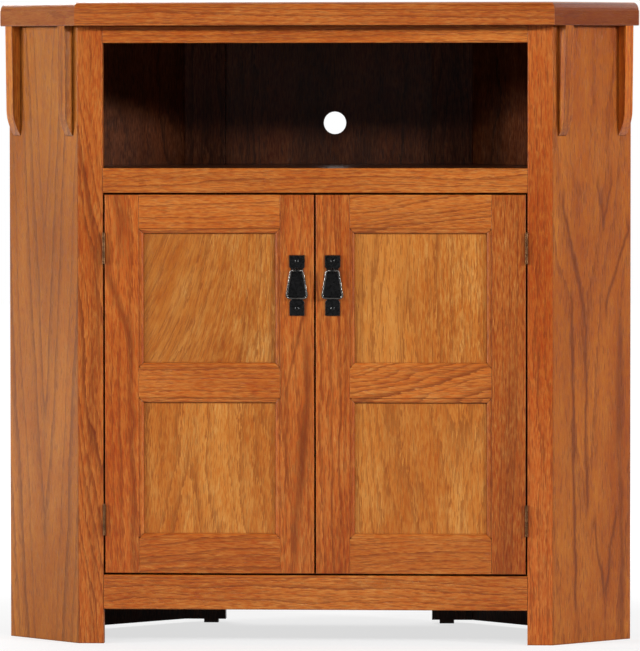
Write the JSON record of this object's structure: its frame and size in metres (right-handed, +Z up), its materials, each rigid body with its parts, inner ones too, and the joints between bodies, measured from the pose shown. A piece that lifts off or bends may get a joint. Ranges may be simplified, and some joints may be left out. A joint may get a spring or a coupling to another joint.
{
  "type": "corner tv cabinet",
  "caption": "Corner television cabinet with angled side panels, an open media compartment over hinged panelled doors with drop handles, and corbels under an overhanging top.",
  "frame": {"origin": "middle of the bounding box on the floor plane", "axes": "+X to the right as seen from the front, +Y to the back, +Z up; the front faces -Y"},
  "size_m": [1.0478, 0.432, 1.043],
  "materials": {
    "oak_frame": "medium oak stain under satin lacquer, straight and cathedral grain",
    "oak_panel": "golden oak stain under satin lacquer, flat-sawn grain",
    "oak_top": "medium oak stain under satin lacquer",
    "inner_wood": "dark stained plywood and solid wood, matt",
    "black_iron": "black semi-gloss hammered iron",
    "hinge_bronze": "dark bronze plated steel",
    "catch_body": "brown moulded plastic"
  },
  "bodies": {
    "cabinet": {"bottom_rail": "oak_frame", "cabinet_bottom": "inner_wood", "centre_back_panel": "inner_wood", "inner_shelf": "inner_wood", "left_back_panel": "inner_wood", "left_back_post": "inner_wood", "left_inner_corbel": "oak_frame", "left_lower_hinge_frame_leaf": "hinge_bronze", "left_lower_hinge_pin": "hinge_bronze", "left_outer_corbel": "oak_frame", "left_shelf_cleat": "inner_wood", "left_side_panel": "oak_panel", "left_stile": "oak_frame", "left_upper_hinge_frame_leaf": "hinge_bronze", "left_upper_hinge_pin": "hinge_bronze", "magnetic_catch": "catch_body", "media_shelf": "inner_wood", "mid_rail": "oak_frame", "rear_shelf_cleat": "inner_wood", "right_back_panel": "inner_wood", "right_back_post": "inner_wood", "right_inner_corbel": "oak_frame", "right_lower_hinge_frame_leaf": "hinge_bronze", "right_lower_hinge_pin": "hinge_bronze", "right_outer_corbel": "oak_frame", "right_shelf_cleat": "inner_wood", "right_side_panel": "oak_panel", "right_stile": "oak_frame", "right_upper_hinge_frame_leaf": "hinge_bronze", "right_upper_hinge_pin": "hinge_bronze", "top": "oak_top", "top_rail": "oak_frame"},
    "left_door": {"left_door_bottom_rail": "oak_frame", "left_door_hinge_stile": "oak_frame", "left_door_lock_stile": "oak_frame", "left_door_lower_panel": "oak_panel", "left_door_mid_rail": "oak_frame", "left_door_strike": "hinge_bronze", "left_door_top_rail": "oak_frame", "left_door_upper_panel": "oak_panel", "left_handle_backplate": "black_iron", "left_handle_lower_screw": "black_iron", "left_handle_upper_screw": "black_iron", "left_lower_hinge_door_leaf": "hinge_bronze", "left_upper_hinge_door_leaf": "hinge_bronze"},
    "right_door": {"right_door_bottom_rail": "oak_frame", "right_door_hinge_stile": "oak_frame", "right_door_lock_stile": "oak_frame", "right_door_lower_panel": "oak_panel", "right_door_mid_rail": "oak_frame", "right_door_strike": "hinge_bronze", "right_door_top_rail": "oak_frame", "right_door_upper_panel": "oak_panel", "right_handle_backplate": "black_iron", "right_handle_lower_screw": "black_iron", "right_handle_upper_screw": "black_iron", "right_lower_hinge_door_leaf": "hinge_bronze", "right_upper_hinge_door_leaf": "hinge_bronze"},
    "left_bail": {"left_handle_bail": "black_iron"},
    "right_bail": {"right_handle_bail": "black_iron"}
  },
  "joints": [
    {"name": "left_door_hinge", "type": "hinge", "parent": "cabinet", "child": "left_door", "pos_m": [-0.3435, -0.1946, 0.423], "axis": [0, 0, -1], "range_deg": [0, 170]},
    {"name": "right_door_hinge", "type": "hinge", "parent": "cabinet", "child": "right_door", "pos_m": [0.3435, -0.1946, 0.423], "axis": [0, 0, 1], "range_deg": [0, 170]},
    {"name": "left_bail_pivot", "type": "hinge", "parent": "left_door", "child": "left_bail", "pos_m": [-0.029, -0.1985, 0.6085], "axis": [-1, 0, 0], "range_deg": [0, 100]},
    {"name": "right_bail_pivot", "type": "hinge", "parent": "right_door", "child": "right_bail", "pos_m": [0.029, -0.1985, 0.6085], "axis": [-1, 0, 0], "range_deg": [0, 100]}
  ]
}
